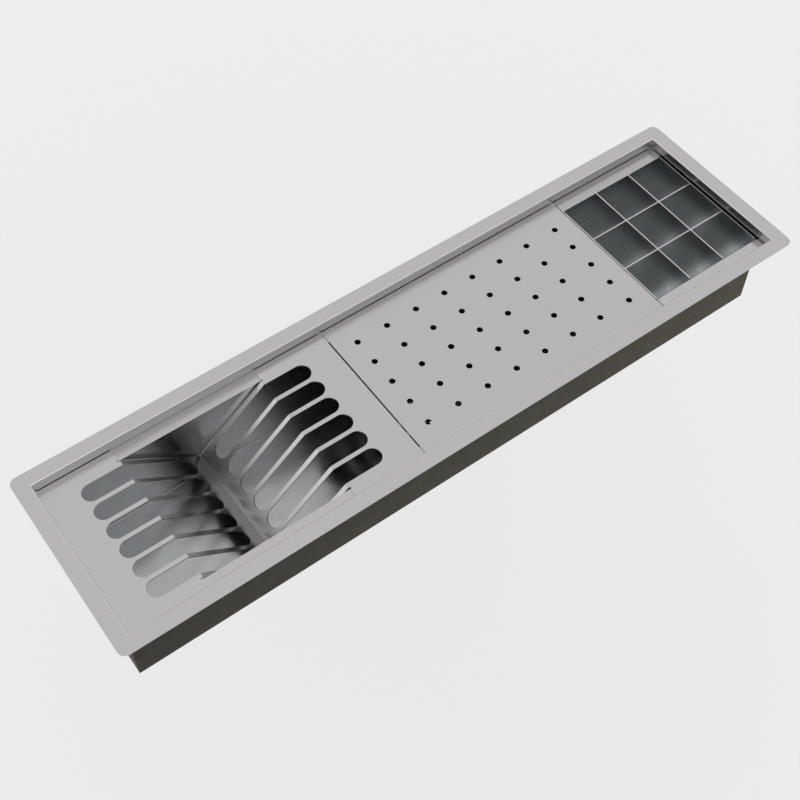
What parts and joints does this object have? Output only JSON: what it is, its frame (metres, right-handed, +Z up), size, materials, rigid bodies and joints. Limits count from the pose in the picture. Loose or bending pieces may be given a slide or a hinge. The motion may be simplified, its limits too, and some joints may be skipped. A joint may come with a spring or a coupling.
{
  "type": "recessed wet trough",
  "caption": "Long narrow stainless trough that drops into a worktop, with a lift-out V plate rack, a perforated drip cover and a divided box over a drained tank.",
  "frame": {"origin": "middle of the plane of the rim's underside, the face that rests on the worktop around the cut-out", "axes": "+X along the trough from the plate rack to the divided box, +Y to the back, +Z up out of the worktop"},
  "size_m": [1, 0.27, 0.1968],
  "materials": {
    "rim_steel": "fine brushed stainless steel",
    "tank_steel": "brushed stainless steel, dull outside",
    "rack_steel": "fine brushed stainless steel",
    "cover_steel": "fine brushed stainless steel",
    "box_steel": "fine brushed stainless steel",
    "divider_steel": "fine brushed stainless steel",
    "drain_chrome": "polished",
    "strainer_steel": "polished",
    "gasket_rubber": "matte",
    "washer_plastic": "matte",
    "nut_plastic": "matte"
  },
  "bodies": {
    "trough": {"rim_frame": "rim_steel", "tank_trough": "tank_steel", "tank_end_left": "tank_steel", "tank_end_right": "tank_steel", "drain_body": "drain_chrome", "drain_gasket_upper": "gasket_rubber", "drain_gasket_lower": "gasket_rubber", "drain_slip_washer": "washer_plastic", "drain_lock_nut": "nut_plastic"},
    "rack": {"plate_rack": "rack_steel"},
    "cover": {"drip_cover": "cover_steel"},
    "box": {"box_trough": "box_steel", "box_end_left": "box_steel", "box_end_right": "box_steel", "divider_long_front": "divider_steel", "divider_long_back": "divider_steel", "divider_cross_left": "divider_steel", "divider_cross_right": "divider_steel"},
    "strainer": {"drain_strainer": "strainer_steel", "strainer_knob": "strainer_steel"}
  },
  "joints": [
    {"name": "rack_lift", "type": "slide", "parent": "trough", "child": "rack", "axis": [0, 0, 1], "range_m": [0, 0.12]},
    {"name": "cover_lift", "type": "slide", "parent": "trough", "child": "cover", "axis": [0, 0, 1], "range_m": [0, 0.06]},
    {"name": "box_lift", "type": "slide", "parent": "trough", "child": "box", "axis": [0, 0, 1], "range_m": [0, 0.1]},
    {"name": "strainer_lift", "type": "slide", "parent": "trough", "child": "strainer", "axis": [0, 0, 1], "range_m": [0, 0.05]}
  ]
}
